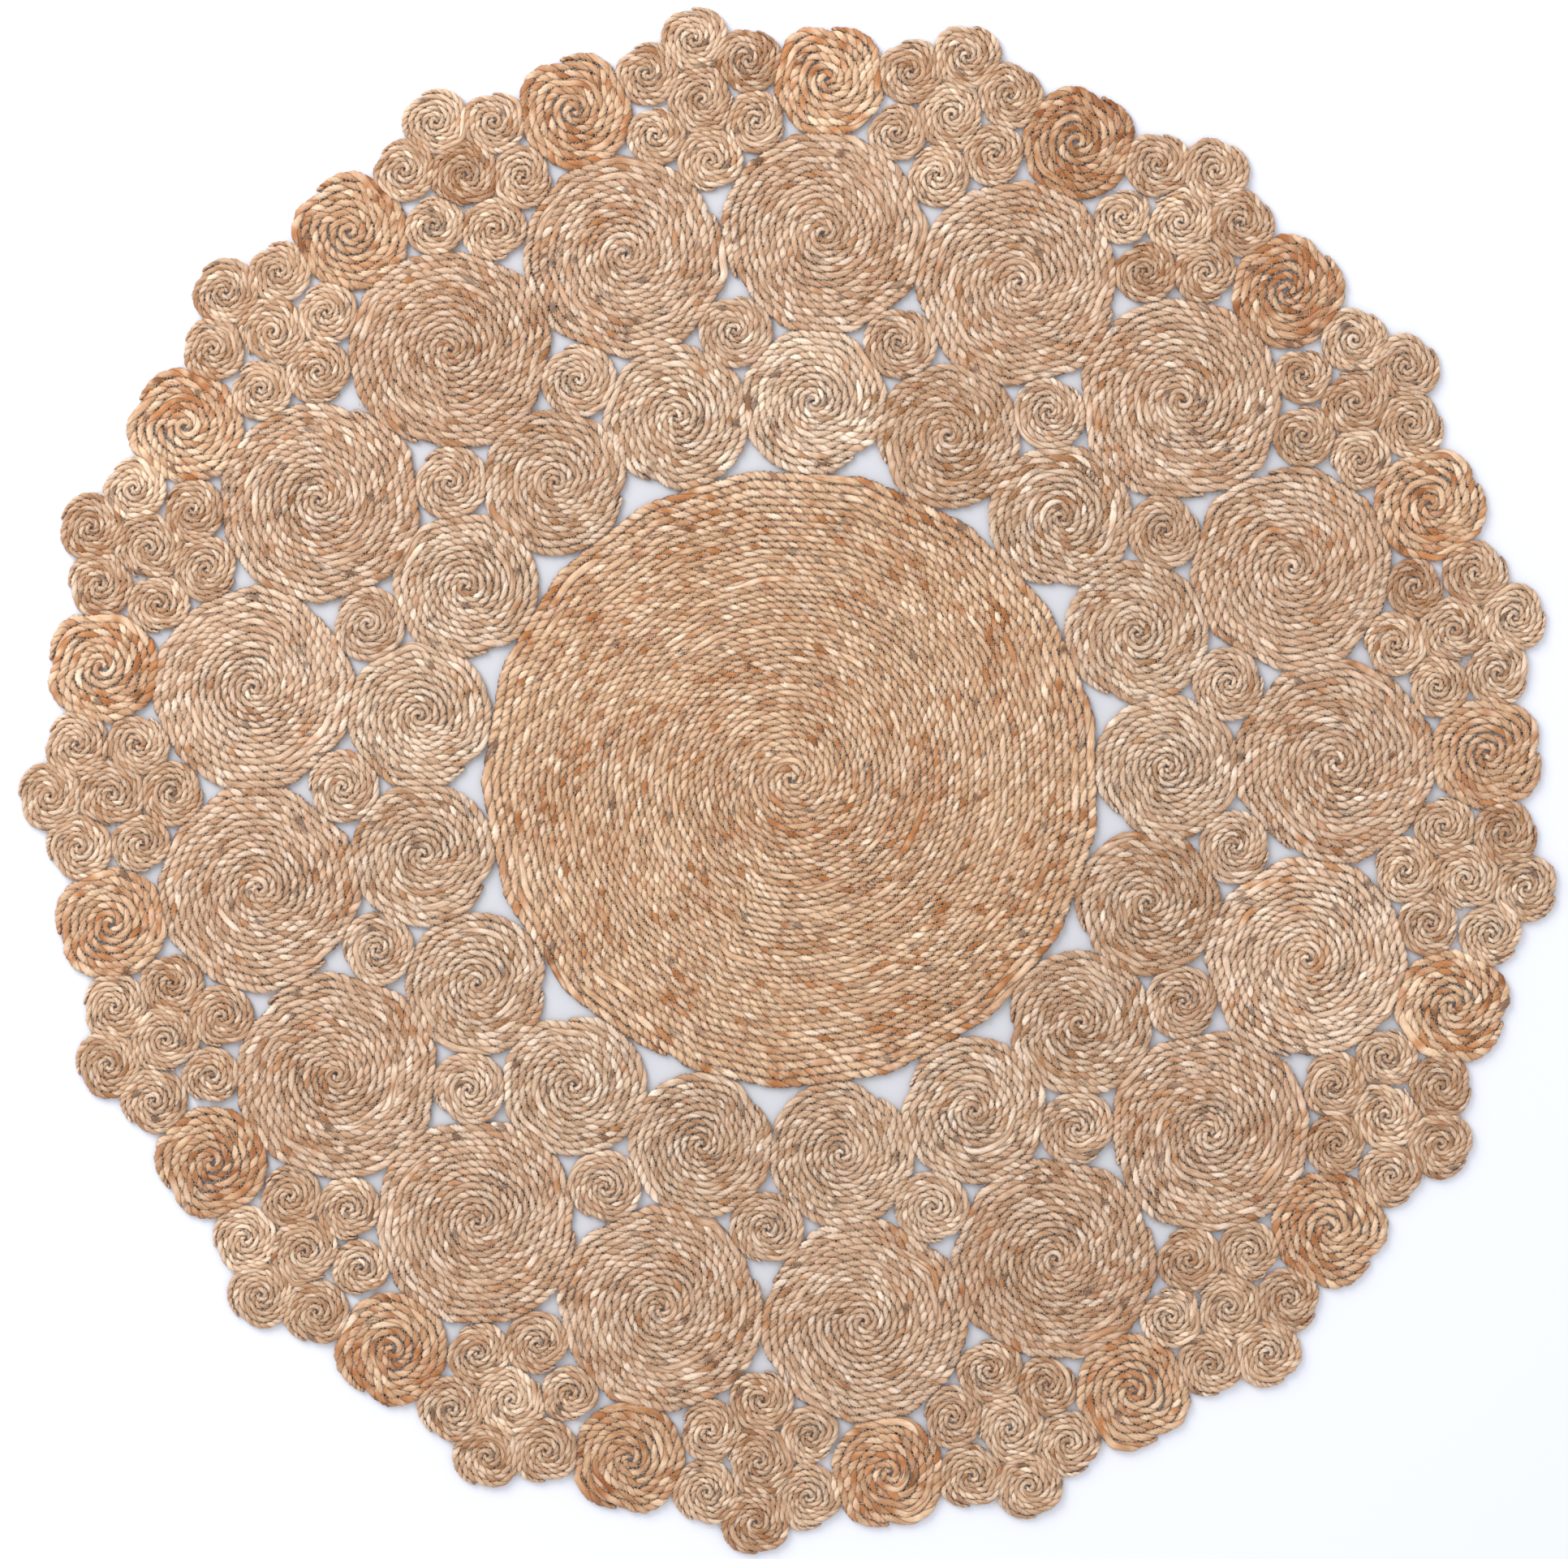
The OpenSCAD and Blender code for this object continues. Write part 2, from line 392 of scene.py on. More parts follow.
# %% Which flanks lie in the open
OPEN_FLANK = 0.75
FLANK_FROM_MIDDLE = 0.5
PRESSED_FROM, PRESSED_OVER = 1 * MM, 2 * MM


def sheltered(coil, flat, outermost, sideways):
    """How much of the painted shade between turns each corner gets: 1 everywhere but on the outer
    flank of the last turn, where no neighbour presses against it. There it is little."""
    east, north = (flat - coil["middle"]).T
    pressed = coil["round"] - outline(coil, np.arctan2(north, east))
    free = outermost * (1 - smooth_step((pressed - PRESSED_FROM) / PRESSED_OVER))
    outward = smooth_step(sideways / FLANK_FROM_MIDDLE)
    return (1 - OPEN_FLANK * free[:, None] * outward).ravel()


# %% How the rope lies
SEVENTH_OF_A_TWIST = 51.4286
RING_TURN = np.radians(SEVENTH_OF_A_TWIST)
THICKNESS = 7.4 * MM
FLATTEST = 0.8
THINNER_LIES_LOWER = 0.1
FINEST_ROPE = 3.5 * MM
REST, RISE, RISE_SPACING, MOST_RISE = 0.15 * MM, 0.25 * MM, 120 * MM, 1.5
SLACK_LONG, SLACK_SHORT = (2.8, 65 * MM), (0.6, 24 * MM)
BULGE = 0.05
END_PINCH = 0.35
LOWEST = 0.05 * MM


def at_rings(at, twist, line, name):
    """One of the line's values, read at the rings: between two points it changes evenly."""
    return np.interp(at, twist, line[name])


def lay_rope(coil, line, rng):
    """The rope along a wound line. Rings come at even steps of the twist, whose angle grows by one
    full turn for every lay of rope. Corner = angle of twist + its angle in the peanut; the corner's
    offset is half the width times its reach, up by the cosine and sideways by the sine."""
    rope = coil["rope"]
    lay = rope["lay"] * line["width"].clip(FINEST_ROPE)
    twist = np.concatenate([[0], np.cumsum(np.diff(line["along"]) * FULL_TURN / lay[1:])])
    count = int(twist[-1] / RING_TURN) + 1
    at = np.linspace(0, twist[-1], count)
    along, width, t = (at_rings(at, twist, line, name) for name in ("along", "width", "t"))
    flat = np.stack([np.interp(at, twist, line["flat"][:, axis]) for axis in (0, 1)], axis=1)
    travel = np.gradient(flat, axis=0)
    travel /= np.hypot(travel[:, 0], travel[:, 1])[:, None]
    side = np.stack([travel[:, 1], -travel[:, 0], np.zeros(count)], axis=1)
    half = width * WIDER / 2
    highest = THICKNESS / 2 * (1 - THINNER_LIES_LOWER + THINNER_LIES_LOWER * width / width.max())
    tall = np.clip(half, FLATTEST * THICKNESS / 2, highest)
    rise = REST + RISE * np.abs(drift(along, RISE_SPACING, rng)).clip(0, MOST_RISE)
    centre = np.column_stack([flat, tall + rise + rope["dome"] * MM * (1 - t**2)])
    slack = at
    for size, spacing in (SLACK_LONG, SLACK_SHORT):
        slack = slack + size * drift(along, spacing, rng)
    slack = slack + rng.uniform(0, FULL_TURN)
    turned = slack[:, None] + ring_angle[None, :]
    bulge = 1 + BULGE * rng.normal(0, 1, (count, 2)).repeat(SIDES // 2, axis=1)
    offsets = np.stack([
        tall[:, None] * ring_reach * bulge * np.cos(turned),
        half[:, None] * ring_reach * bulge * np.sin(turned),
    ], axis=2)
    offsets[[0, -1]] *= END_PINCH
    made = tube(centre, side, offsets, along)
    made["points"][:, 2] = made["points"][:, 2].clip(LOWEST)
    made["twist"] = slack / FULL_TURN
    outermost = at_rings(at, twist, line, "turn") > line["turns"] - 1
    made["sheltered"] = sheltered(coil, flat, outermost, offsets[..., 1] / half[:, None])
    return made


trial_rope = lay_rope(coils[0], trial, np.random.default_rng(1))
print("first coil's rope:", trial_rope["rings"], "rings of", trial_rope["sides"], "corners")

# %% [markdown]
# ## The sewing
# Neighbouring turns are held by a thin beige thread in a zigzag, which bites into the rope on either
# side of the valley and crosses it. The thread is a three-sided tube with a ring at each bite, so
# each stitch costs only six triangles. Where two coils touch, the same zigzag runs along the seam.

# %% Lay one zigzag of thread
THREAD = 0.26 * MM
THREAD_RING = np.array([[1.0, 0.0], [-0.5, 1.5], [-0.5, -1.5]]) * THREAD


def zigzag(line_points, across, height, along, reach):
    """A zigzag thread along a line: bite i lies reach to the left or right of the line by turns."""
    count = len(line_points)
    sign = np.where(np.arange(count) % 2, 1.0, -1.0)[:, None]
    centre = np.column_stack([line_points + across * sign * reach[:, None], height])
    side = np.column_stack([across, np.zeros(count)])
    backwards = (np.cross(UPWARDS, side)[:, :2] * np.gradient(line_points, axis=0)).sum(axis=1) > 0
    side = side * np.where(backwards, -1.0, 1.0)[:, None]
    return tube(centre, side, np.tile(THREAD_RING, (count, 1, 1)), along)


# %% Sew a coil's turns together
FIRST_SEWN_TURN = EYE + 1.15
STOP_BEFORE_END = 10 * MM
BITE, BITE_VARIES = 0.24, 0.12
THREAD_VARIES = 0.15 * MM


def sew_turns(coil, line, rng):
    """The thread between a coil's turns: it follows the line halfway between each turn and the
    turn inside it, from the second turn to the last."""
    rope, along = coil["rope"], line["along"]
    start = np.searchsorted(line["turn"], FIRST_SEWN_TURN)
    at = np.arange(along[start], along[-1] - STOP_BEFORE_END, rope["stitch"] * MM)
    here, inner = (
        np.stack([np.interp(at, along, line[name][:, axis]) for axis in (0, 1)], axis=1)
        for name in ("flat", "inner"))
    width, t = (np.interp(at, along, line[name]) for name in ("width", "t"))
    across = here - inner
    gap = np.hypot(across[:, 0], across[:, 1])
    across /= gap[:, None]
    tall = np.minimum(width * WIDER / 2, THICKNESS / 2)
    height = tall * rope["thread"] + rope["dome"] * MM * (1 - t**2)
    height += THREAD_VARIES * rng.normal(0, 1, len(at))
    reach = gap * BITE * (1 + BITE_VARIES * rng.normal(0, 1, len(at)))
    return zigzag((here + inner) / 2, across, height, at, reach)


# %% Sew two coils together
SEAM_STITCH = 2.5 * MM
SEAM_LEAST, SEAM_PAST_END = 6 * MM, 3 * MM
SEAM_HEIGHT, SEAM_HEIGHT_VARIES = 5.9 * MM, 0.2 * MM
SEAM_BITE, SEAM_BITE_VARIES = 2.0 * MM, 0.15


def sew_coils(contact, rng):
    """The thread along the seam of two coils: it follows their shared straight edge, as far as the
    coils press each other. Half its length is the square root of radius^2 - press^2."""
    first, second, bearing, press = contact
    coil, other = coils[first], coils[second]
    towards = np.array([np.cos(bearing), np.sin(bearing)])
    sideways = np.array([-towards[1], towards[0]])
    apart = np.hypot(*(other["middle"] - coil["middle"]))
    halves = []
    for radius, edge in ((coil["round"], press), (other["round"], apart - press)):
        halves.append(np.sqrt(max(radius**2 - min(edge, radius) ** 2, 0)))
    half = max(min(halves), SEAM_LEAST) + SEAM_PAST_END
    at = np.arange(-half, half, SEAM_STITCH)
    line_points = coil["middle"] + towards * press + sideways * at[:, None]
    across = np.tile(towards, (len(at), 1))
    height = SEAM_HEIGHT + SEAM_HEIGHT_VARIES * rng.normal(0, 1, len(at))
    reach = SEAM_BITE * (1 + SEAM_BITE_VARIES * rng.normal(0, 1, len(at)))
    return zigzag(line_points, across, height, at + half, reach)


print("first seam:", sew_coils(contacts[0], np.random.default_rng(1))["rings"], "bites")

# %% [markdown]
# ## From tubes to pieces
# A piece is many tubes in one mesh. Beside its shape it carries what the materials need: a map named
# Rope, with the distance along the rope and the share of the way round it, a number for each
# ply of each coil, and how near a corner is to the crown of its ply. A second map lays all the rope
# out in rows, like lines of writing, for whoever wants to paint or bake the piece.

# %% Gather the faces of many tubes
def join(rows):
    """Many small tables with the same columns, made into one."""
    return {key: np.concatenate([row[key] for row in rows]) for key in rows[0]}


def gather(tubes, strands):
    """The four-cornered faces of many tubes, the three-cornered faces of their ends, and the number
    of cells. A tube takes one cell for each step between rings and one for each closed end."""
    sides = tubes[0]["sides"]
    points_before = np.cumsum([0] + [len(one["points"]) for one in tubes])
    cells_before = np.cumsum([0] + [one["rings"] + 1 for one in tubes])
    quads, caps = [], []
    for one, strand, before, cell in zip(tubes, strands, points_before, cells_before):
        ring, along = one["ring"], one["along"]
        quads.append({
            "corners": one["quads"] + before, "cell": ring + 1 + cell, "corner": one["corner"],
            "near": along[ring], "far": along[ring + 1], "strand": np.full(len(ring), strand)})
        for which, its_cell, where in (("start", cell, 0), ("finish", cell + one["rings"], -1)):
            caps.append({
                "corners": one[which] + before, "cell": np.full(sides, its_cell),
                "corner": np.arange(sides), "along": np.full(sides, along[where]),
                "is_start": np.full(sides, which == "start"), "strand": np.full(sides, strand)})
    return join(quads), join(caps), cells_before[-1]


def new_mesh(name, points, quads, caps):
    """A smooth mesh from its points, its four-cornered faces and its three-cornered faces."""
    mesh = bpy.data.meshes.new(name)
    mesh.vertices.add(len(points))
    mesh.vertices.foreach_set("co", points.astype(np.float32).ravel())
    corners = np.concatenate([quads.ravel(), caps.ravel()]).astype(np.int32)
    mesh.loops.add(len(corners))
    mesh.loops.foreach_set("vertex_index", corners)
    starts = np.concatenate([np.arange(len(quads)) * 4, quads.size + np.arange(len(caps)) * 3])
    mesh.polygons.add(len(starts))
    mesh.polygons.foreach_set("loop_start", starts.astype(np.int32))
    mesh.update(calc_edges=True)
    mesh.shade_smooth()
    return mesh


# %% Two maps for a piece
ROOM_BETWEEN_ROWS = 0.05
SAMPLE_RING = 8


def add_map(mesh, name, quads, caps):
    """Adds a map from the (u, v) places of the corners of all faces."""
    places = np.concatenate([np.stack(quads, axis=1).ravel(), np.stack(caps, axis=1).ravel()])
    mesh.uv_layers.new(name=name).data.foreach_set("uv", places.astype(np.float32))


def rope_map(mesh, quads, caps, sides):
    """The map Rope: u is the distance along the rope in metres, v the share of the way round."""
    def spot(along, corner):
        return np.stack([along, corner / sides], axis=1)

    near, far, corner = quads["near"], quads["far"], quads["corner"]
    along, tip, is_start = caps["along"], caps["corner"], caps["is_start"]
    add_map(
        mesh, "Rope",
        [spot(near, corner), spot(near, corner + 1), spot(far, corner + 1), spot(far, corner)],
        [spot(along, tip + 0.5), spot(along, tip + is_start), spot(along, tip + 1 - is_start)])


def row_map(mesh, quads, caps, sides, cells, rows):
    """The map OFBake: u = (cell in its row + share of the cell) / cells in a row, and v = (row +
    share of the way round) / rows, with a little room left between rows."""
    per_row = int(np.ceil(cells / rows))

    def spot(cell, into_cell, corner):
        u = (cell % per_row + into_cell) / per_row
        round_share = ROOM_BETWEEN_ROWS + (1 - 2 * ROOM_BETWEEN_ROWS) * corner / sides
        return np.stack([u, (cell // per_row + round_share) / rows], axis=1)

    cell, corner = quads["cell"], quads["corner"]
    cap, tip, is_start = caps["cell"], caps["corner"], caps["is_start"]
    add_map(
        mesh, "OFBake",
        [spot(cell, 0, corner), spot(cell, 0, corner + 1), spot(cell, 1, corner + 1),
         spot(cell, 1, corner)],
        [spot(cap, 1 - is_start, tip + 0.5), spot(cap, is_start * 1, tip + is_start),
         spot(cap, is_start * 1, tip + 1 - is_start)])


# %% What the materials read from a piece
END_CROWN = 0.7
VALLEY_CROWN = 0.01


def add_attribute(mesh, name, kind, where, values):
    """Adds one number, or yes or no, for each point, edge or face."""
    if kind == "FLOAT":
        values = values.astype(np.float32)
    mesh.attributes.new(name, kind, where).data.foreach_set("value", values)


def rope_attributes(mesh, tubes):
    """crown is 1 on top of a ply and 0 in the valley beside it, twist counts the turns of the plies
    round each other, and the third number is how much painted crease shade a corner gets. Valley
    edges are sharp."""
    crown = np.concatenate([
        np.append(np.tile(ring_crown, one["rings"]), [END_CROWN, END_CROWN]) for one in tubes])
    twist = np.concatenate([
        np.append(np.repeat(one["twist"], SIDES), one["twist"][[0, -1]]) for one in tubes])
    shadow = np.concatenate([np.append(one["sheltered"], [1, 1]) for one in tubes])
    add_attribute(mesh, "crown", "FLOAT", "POINT", crown)
    add_attribute(mesh, "twist", "FLOAT", "POINT", twist)
    add_attribute(mesh, "sheltered", "FLOAT", "POINT", shadow)
    ends = np.empty(len(mesh.edges) * 2, np.int32)
    mesh.edges.foreach_get("vertices", ends)
    valley = (crown[ends.reshape(-1, 2)] < VALLEY_CROWN).all(axis=1)
    add_attribute(mesh, "sharp_edge", "BOOLEAN", "EDGE", valley)


def make_piece(name, tubes, strands, material, is_rope=True):
    """Builds one object from tubes, at the origin, smooth, with its maps and attributes. The number
    of rows is the square root of length / girth, so that the map is about as wide as high."""
    sides = tubes[0]["sides"]
    quads, caps, cells = gather(tubes, strands)
    points = np.concatenate([one["points"] for one in tubes])
    mesh = new_mesh(name, points, quads["corners"], caps["corners"])
    length = sum(one["along"][-1] - one["along"][0] for one in tubes)
    ring = points[sides * SAMPLE_RING:sides * (SAMPLE_RING + 1)]
    girth = np.linalg.norm(np.diff(ring, axis=0), axis=1).sum()
    rows = max(1, int(round(np.sqrt(length / girth))))
    rope_map(mesh, quads, caps, sides)
    row_map(mesh, quads, caps, sides, cells, rows)
    mesh.uv_layers.active = mesh.uv_layers["Rope"]
    second_ply = np.concatenate([quads["corner"], caps["corner"]]) >= sides // 2
    strand = np.concatenate([quads["strand"], caps["strand"]]) * 2 + second_ply
    add_attribute(mesh, "strand", "FLOAT", "FACE", strand)
    if is_rope:
        rope_attributes(mesh, tubes)
    mesh.materials.append(material)
    piece = bpy.data.objects.new(name, mesh)
    bpy.context.scene.collection.objects.link(piece)
    triangles = len(quads["corners"]) * 2 + len(caps["corners"])
    print(f"{name}: {len(tubes)} lengths, {length:.1f} m, {triangles} triangles, {rows} rows")
    return piece


# %% [markdown]
# ## A small language for materials
# A material is a net of nodes. The class below wraps the output of a node so that sums can be
# written as sums: each sign adds the Math node that it stands for. Colours go through Mix nodes.

# %% Sums on sockets
VALUE, FROM_LOW, FROM_HIGH, TO_LOW, TO_HIGH = range(5)


class Signal:
    """The output of a node, which can be added to, taken from, multiplied and compared."""

    def __init__(self, net, socket):
        self.net = net
        self.socket = socket

    def maths(self, operation, *terms):
        """A Math node on this and other terms."""
        return self.net.node("ShaderNodeMath", {"operation": operation}, dict(enumerate(terms)))

    def __add__(self, other):
        return self.maths("ADD", self, other)

    __radd__ = __add__

    def __mul__(self, other):
        return self.maths("MULTIPLY", self, other)

    __rmul__ = __mul__

    def __sub__(self, other):
        return self.maths("SUBTRACT", self, other)

    def __rsub__(self, other):
        return self.maths("SUBTRACT", other, self)

    def between(self, low, high):
        """0 at low, 1 at high and an S curve between them."""
        return self.net.node(
            "ShaderNodeMapRange", {"interpolation_type": "SMOOTHSTEP"},
            {VALUE: self, FROM_LOW: low, FROM_HIGH: high, TO_LOW: 0.0, TO_HIGH: 1.0})


# %% A net of nodes
BUMP_DEPTH = 0.6 * MM
CLOTH_SHEEN_ROUGHNESS = 0.5
OBJECT_PLACE = 3
FACTOR = 2
MIX_FACTOR, MIX_FIRST, MIX_SECOND, MIX_RESULT = 0, 6, 7, 2


class Net:
    """A material's nodes. node() adds any node: its type, its settings, then its inputs."""

    def __init__(self, name):
        self.material = bpy.data.materials.new(name)
        self.material.use_nodes = True
        self.tree = self.material.node_tree
        self.tree.nodes.clear()

    def node(self, kind, settings=None, inputs=None, output=0):
        """Adds a node and gives back one of its outputs, or nothing if it has none."""
        made = self.tree.nodes.new(kind)
        for key, value in (settings or {}).items():
            setattr(made, key, value)
        for key, value in (inputs or {}).items():
            if isinstance(value, Signal):
                self.tree.links.new(value.socket, made.inputs[key])
            else:
                made.inputs[key].default_value = value
        return Signal(self, made.outputs[output]) if made.outputs else None

    def mix(self, amount, first, second, blend="MIX"):
        """The first colour where amount is 0, the second where it is 1."""
        settings = {"data_type": "RGBA", "blend_type": blend}
        colours = {MIX_FACTOR: amount, MIX_FIRST: first, MIX_SECOND: second}
        return self.node("ShaderNodeMix", settings, colours, MIX_RESULT)

    def noise(self, place, detail=2.0, rough=0.5):
        """Soft random clouds, about one to each unit of the place."""
        return self.node("ShaderNodeTexNoise", {}, {
            "Vector": place, "Scale": 1.0, "Detail": detail, "Roughness": rough})

    def place(self, x, y, z):
        """Three numbers as one place."""
        return self.node("ShaderNodeCombineXYZ", {}, {0: x, 1: y, 2: z})

    def part(self, place, axis):
        """One of the three numbers of a place."""
        return self.node("ShaderNodeSeparateXYZ", {}, {0: place}, axis)

    def attribute(self, name):
        """A number that the piece carries."""
        return self.node("ShaderNodeAttribute", {"attribute_name": name}, {}, FACTOR)

    def cloth(self, colour, rough, bump, sheen, specular):
        """Joins colour, roughness and bump to a cloth-like shader and to the material's output."""
        normal = self.node("ShaderNodeBump", {}, {
            "Strength": 1.0, "Distance": BUMP_DEPTH, "Height": bump})
        shader = self.node("ShaderNodeBsdfPrincipled", {}, {
            "Base Color": colour, "Roughness": rough, "Normal": normal, "Sheen Weight": sheen,
            "Sheen Roughness": CLOTH_SHEEN_ROUGHNESS, "Specular IOR Level": specular})
        self.node("ShaderNodeOutputMaterial", {}, {0: shader})
        return self.material


def paint(code):
    """A colour written as in a paint chart, as the four numbers that a socket takes: a share of full
    brightness above 0.04045 becomes ((share + 0.055) / 1.055)^2.4, and below it share / 12.92."""
    parts = np.array([int(code[i:i + 2], 16) for i in (1, 3, 5)]) / 255
    linear = np.where(parts > 0.04045, ((parts + 0.055) / 1.055) ** 2.4, parts / 12.92)
    return (*linear.tolist(), 1.0)


print("mid grey as a socket takes it:", round(paint("#808080")[0], 3))

# %% [markdown]
# ## Jute
# Jute is a bast fibre. It is tan, with browner and whiter lengths where the plies were spun from
# different bundles, so the colour of a ply changes slowly along it and its neighbour has another
# colour. Here and there a bit of bark left a dark smudge. Fine fibres run along the ply and give it
# streaks and a faint shine. A painted shade, dark brown, darkens the valley between the plies and
# the crease between the turns. Eight patterns say the rest. Each varies round one half, and a
# change of colour is a weighted sum of what they are above or below it.

# %% The patterns in jute
# For each: changes in a metre of rope, how far apart neighbouring strands read it, where it starts
# and how much fine detail it has.
ROPE_PATTERNS = {
    "bundle": (26.0, 3.7, 0.0, 1.0),
    "grain": (85.0, 5.3, 7.0, 0.0),
    "patch": (9.0, 0.9, 11.0, 2.0),
    "smudge": (40.0, 1.7, 23.0, 1.0),
}
COIL_STEP, COIL_START = 0.31, 3.0
REGIONS_PER_METRE, REGION_DETAIL = 11.0, 1.0
FIBRES_PER_METRE, FIBRES_ROUND, FIBRE_STRAND = 95.0, 22.0, 2.3
FIBRE_DETAIL, FIBRE_ROUGHNESS = 4.0, 0.7
FIBRE_SLANT = 0.55
PLIES, HALF_A_TURN = 2.0, 0.5


def jute_patterns(net):
    """Bundle, grain, patch and smudge are noise along the rope, and coil is noise from coil to coil.
    Region is noise across the rug. Fibre is fine noise that slants with the ply. Kernel is a random
    number for each grain that is seen from above, which is half a turn of the twist."""
    rope = net.node("ShaderNodeUVMap", {"uv_map": "Rope"})
    along, around = net.part(rope, 0), net.part(rope, 1)
    strand, twist = net.attribute("strand"), net.attribute("twist")
    found = {}
    for name, (per_metre, per_strand, start, detail) in ROPE_PATTERNS.items():
        found[name] = net.noise(net.place(along * per_metre, strand * per_strand, start), detail)
    found["coil"] = net.noise(net.place(strand * COIL_STEP, 0.0, COIL_START), 0.0)
    over_rug = net.node("ShaderNodeTexCoord", {}, {}, OBJECT_PLACE)
    over_rug = net.node("ShaderNodeVectorMath", {"operation": "SCALE"},
                        {0: over_rug, "Scale": REGIONS_PER_METRE})
    found["region"] = net.noise(over_rug, REGION_DETAIL)
    with_the_ply = (around + twist * FIBRE_SLANT) * FIBRES_ROUND
    found["fibre"] = net.noise(
        net.place(along * FIBRES_PER_METRE, with_the_ply, strand * FIBRE_STRAND),
        FIBRE_DETAIL, FIBRE_ROUGHNESS)
    seen = twist + strand.maths("MODULO", strand, PLIES) * HALF_A_TURN + HALF_A_TURN
    found["kernel"] = net.node(
        "ShaderNodeTexWhiteNoise", {"noise_dimensions": "2D"},
        {"Vector": net.place(seen.maths("FLOOR", seen), strand, 0.0)})
    return found


# %% The jute material
BROWNER = {"bundle": 1.0, "patch": 0.75, "region": 0.35, "kernel": 0.2, "fibre": 0.4}
PALER = {"grain": 0.5, "bundle": 0.3, "kernel": 0.3}
SMUDGED = {"smudge": 1.0, "coil": 0.2, "kernel": 0.15, "fibre": 0.6}
LIGHTER = {"fibre": 1.5, "grain": 0.6, "kernel": 0.4, "coil": 1.0, "patch": 0.8}
BROWN_FROM, BROWN_TO, BROWN_MOST = 0.12, 0.28, 0.9
PALE_FROM, PALE_TO, PALE_MOST = -0.03, 0.27, 0.38
SMUDGE_FROM, SMUDGE_TO, SMUDGE_MOST = 0.16, 0.26, 0.75
# Painted shade in the valleys between plies and the creases between turns: where it reaches, how
# strong it is, and the dark brown it is painted in.
VALLEY_SHADE_TO, VALLEY_SHADE_MOST = 0.3, 0.6
CREASE_SHADE_FROM, CREASE_SHADE_TO, CREASE_SHADE_MOST = 0.46, 0.84, 0.85
WHITE, UNDERTONE, UNDERTONE_MEAN = paint("#FFFFFF"), paint("#A2784C"), 0.45
SHADE_BROWN, SMUDGE = paint("#4E2F18"), paint("#5A351A")
LEAST_ROUGH, ROUGHNESS_VARIES = 0.72, 0.25
JUTE_SHEEN, JUTE_SPECULAR = 0.15, 0.25


def weigh(patterns, weights):
    """The sum of weight * (pattern - one half) over the patterns that have a weight."""
    terms = [(patterns[name] - 0.5) * weight for name, weight in weights.items()]
    total = terms[0]
    for term in terms[1:]:
        total = total + term
    return total


def jute(name, tan, brown, pale, brown_share, top):
    """Jute in a tan, a brown and a pale shade. brown_share says how much of the rope is brown, and
    top is the height of the coil's turns in millimetres, which sets how high the painted crease
    shade reaches."""
    net = Net(name)
    patterns = jute_patterns(net)
    browner = weigh(patterns, BROWNER).between(BROWN_FROM - brown_share, BROWN_TO - brown_share)
    paler = weigh(patterns, PALER).between(PALE_FROM, PALE_TO)
    smudged = weigh(patterns, SMUDGED).between(SMUDGE_FROM, SMUDGE_TO)
    colour = net.mix(browner * BROWN_MOST, paint(tan), paint(brown))
    colour = net.mix(paler * PALE_MOST, colour, paint(pale))
    colour = net.mix(smudged * SMUDGE_MOST, colour, SMUDGE)
    shade = net.mix(UNDERTONE_MEAN - weigh(patterns, LIGHTER), WHITE, UNDERTONE)
    colour = net.mix(1.0, colour, shade, "MULTIPLY")
    # Painted shade: the valley between the plies is darkened towards dark brown.
    valley = 1 - net.attribute("crown").between(0.0, VALLEY_SHADE_TO)
    colour = net.mix(valley * VALLEY_SHADE_MOST, colour, SHADE_BROWN)
    # Painted shade: low on each turn, down in the crease between turns, the rope is darkened, less
    # so on the open outer flank of the last turn.
    height = net.part(net.node("ShaderNodeTexCoord", {}, {}, OBJECT_PLACE), 2)
    crease_shade = 1 - height.between(top * CREASE_SHADE_FROM * MM, top * CREASE_SHADE_TO * MM)
    colour = net.mix(crease_shade * net.attribute("sheltered") * CREASE_SHADE_MOST, colour, SHADE_BROWN)
    rough = LEAST_ROUGH + patterns["fibre"] * ROUGHNESS_VARIES
    return net.cloth(colour, rough, patterns["fibre"], JUTE_SHEEN, JUTE_SPECULAR)


jutes = {
    "medallion": jute("medallion_jute", "#F0D0AE", "#BC7632", "#FBEFDF", 0.105, 7.4),
    "mid": jute("mid_coil_jute", "#EBD2B8", "#C49060", "#FBF0E4", 0.04, 7.4),
    "large": jute("large_coil_jute", "#EACEB3", "#C48A56", "#FBF0E4", 0.06, 7.4),
    "rosette": jute("rosette_jute", "#E9CBAD", "#C08C5E", "#F7E9D8", 0.02, 6.2),
    "filler": jute("filler_jute", "#E9CEB3", "#C18A5E", "#F7E9DA", 0.02, 6.4),
    "rim": jute("rim_jute", "#F0D0AE", "#BE7A40", "#F8E6D0", 0.14, 7.4),
}
print("jutes:", ", ".join(jute_made.name for jute_made in jutes.values()))

# %% [markdown]
# ## Thread
# The sewing thread is spun cotton, much finer than the rope. It is beige, slightly paler and darker
# by turns along its length, and rougher where it is paler.

# %% The thread material
THREAD_PATTERNS_PER_METRE = 140.0
THREAD_ROUGH, THREAD_ROUGH_VARIES = 0.7, 0.2
THREAD_SHEEN, THREAD_SPECULAR = 0.1, 0.25


